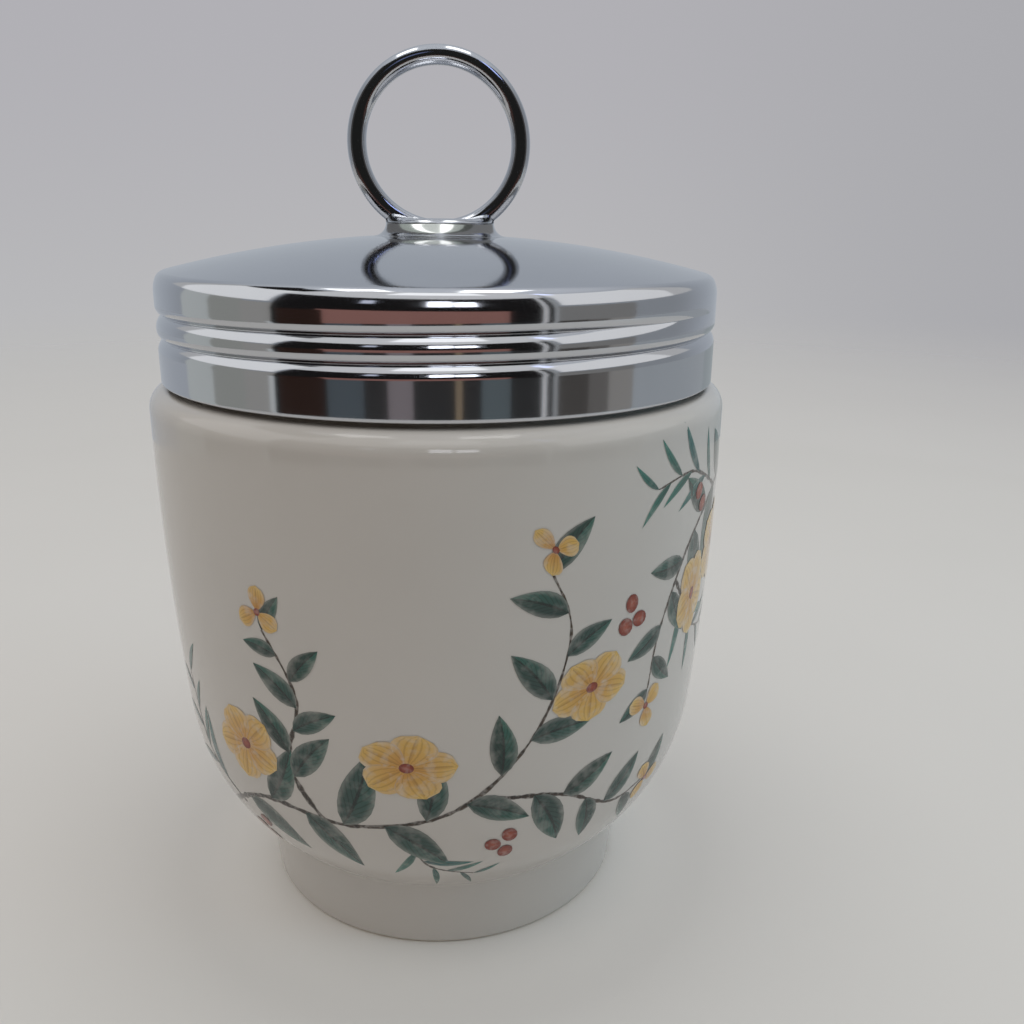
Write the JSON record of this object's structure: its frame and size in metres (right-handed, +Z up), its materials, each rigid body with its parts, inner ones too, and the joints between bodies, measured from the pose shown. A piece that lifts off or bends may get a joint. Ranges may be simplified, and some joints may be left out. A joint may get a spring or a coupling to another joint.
{
  "type": "egg coddler",
  "caption": "Porcelain egg coddler: a footed, straight-sided cup with a botanical print and a screw-on domed metal lid with a lifting ring.",
  "frame": {"origin": "centre of the foot ring, on the surface that it stands on", "axes": "+Z up along the cup's axis, -Y the front, +X to the right seen from the front; the ring lies in the XZ plane"},
  "size_m": [0.0576, 0.0576, 0.0862],
  "materials": {
    "glazed_porcelain": "glossy clear glaze over white porcelain, with a printed transfer of sprays and blossoms",
    "chromed_sheet": "bright chrome plate on pressed sheet",
    "chromed_wire": "bright chrome plate on round wire",
    "chromed_turning": "bright chrome plate on a turned collar",
    "plated_washer": "plain chrome plate"
  },
  "bodies": {
    "cup": {"porcelain_cup": "glazed_porcelain"},
    "screw_carrier": {"backing_washer": "plated_washer"},
    "lid": {"lid_shell": "chromed_sheet", "finial_collar": "chromed_turning", "finial_ring": "chromed_wire"}
  },
  "joints": [
    {"name": "lid_lift", "type": "slide", "parent": "cup", "child": "screw_carrier", "axis": [0, 0, 1], "range_m": [0, 0.01045]},
    {"name": "lid_turn", "type": "hinge", "parent": "screw_carrier", "child": "lid", "pos_m": [0, 0, 0], "axis": [0, 0, 1], "range_deg": [0, 1710]}
  ],
  "couplings": [
    {"joint": "lid_lift", "follows": "lid_turn", "m_per_rad": 0.00035014}
  ]
}
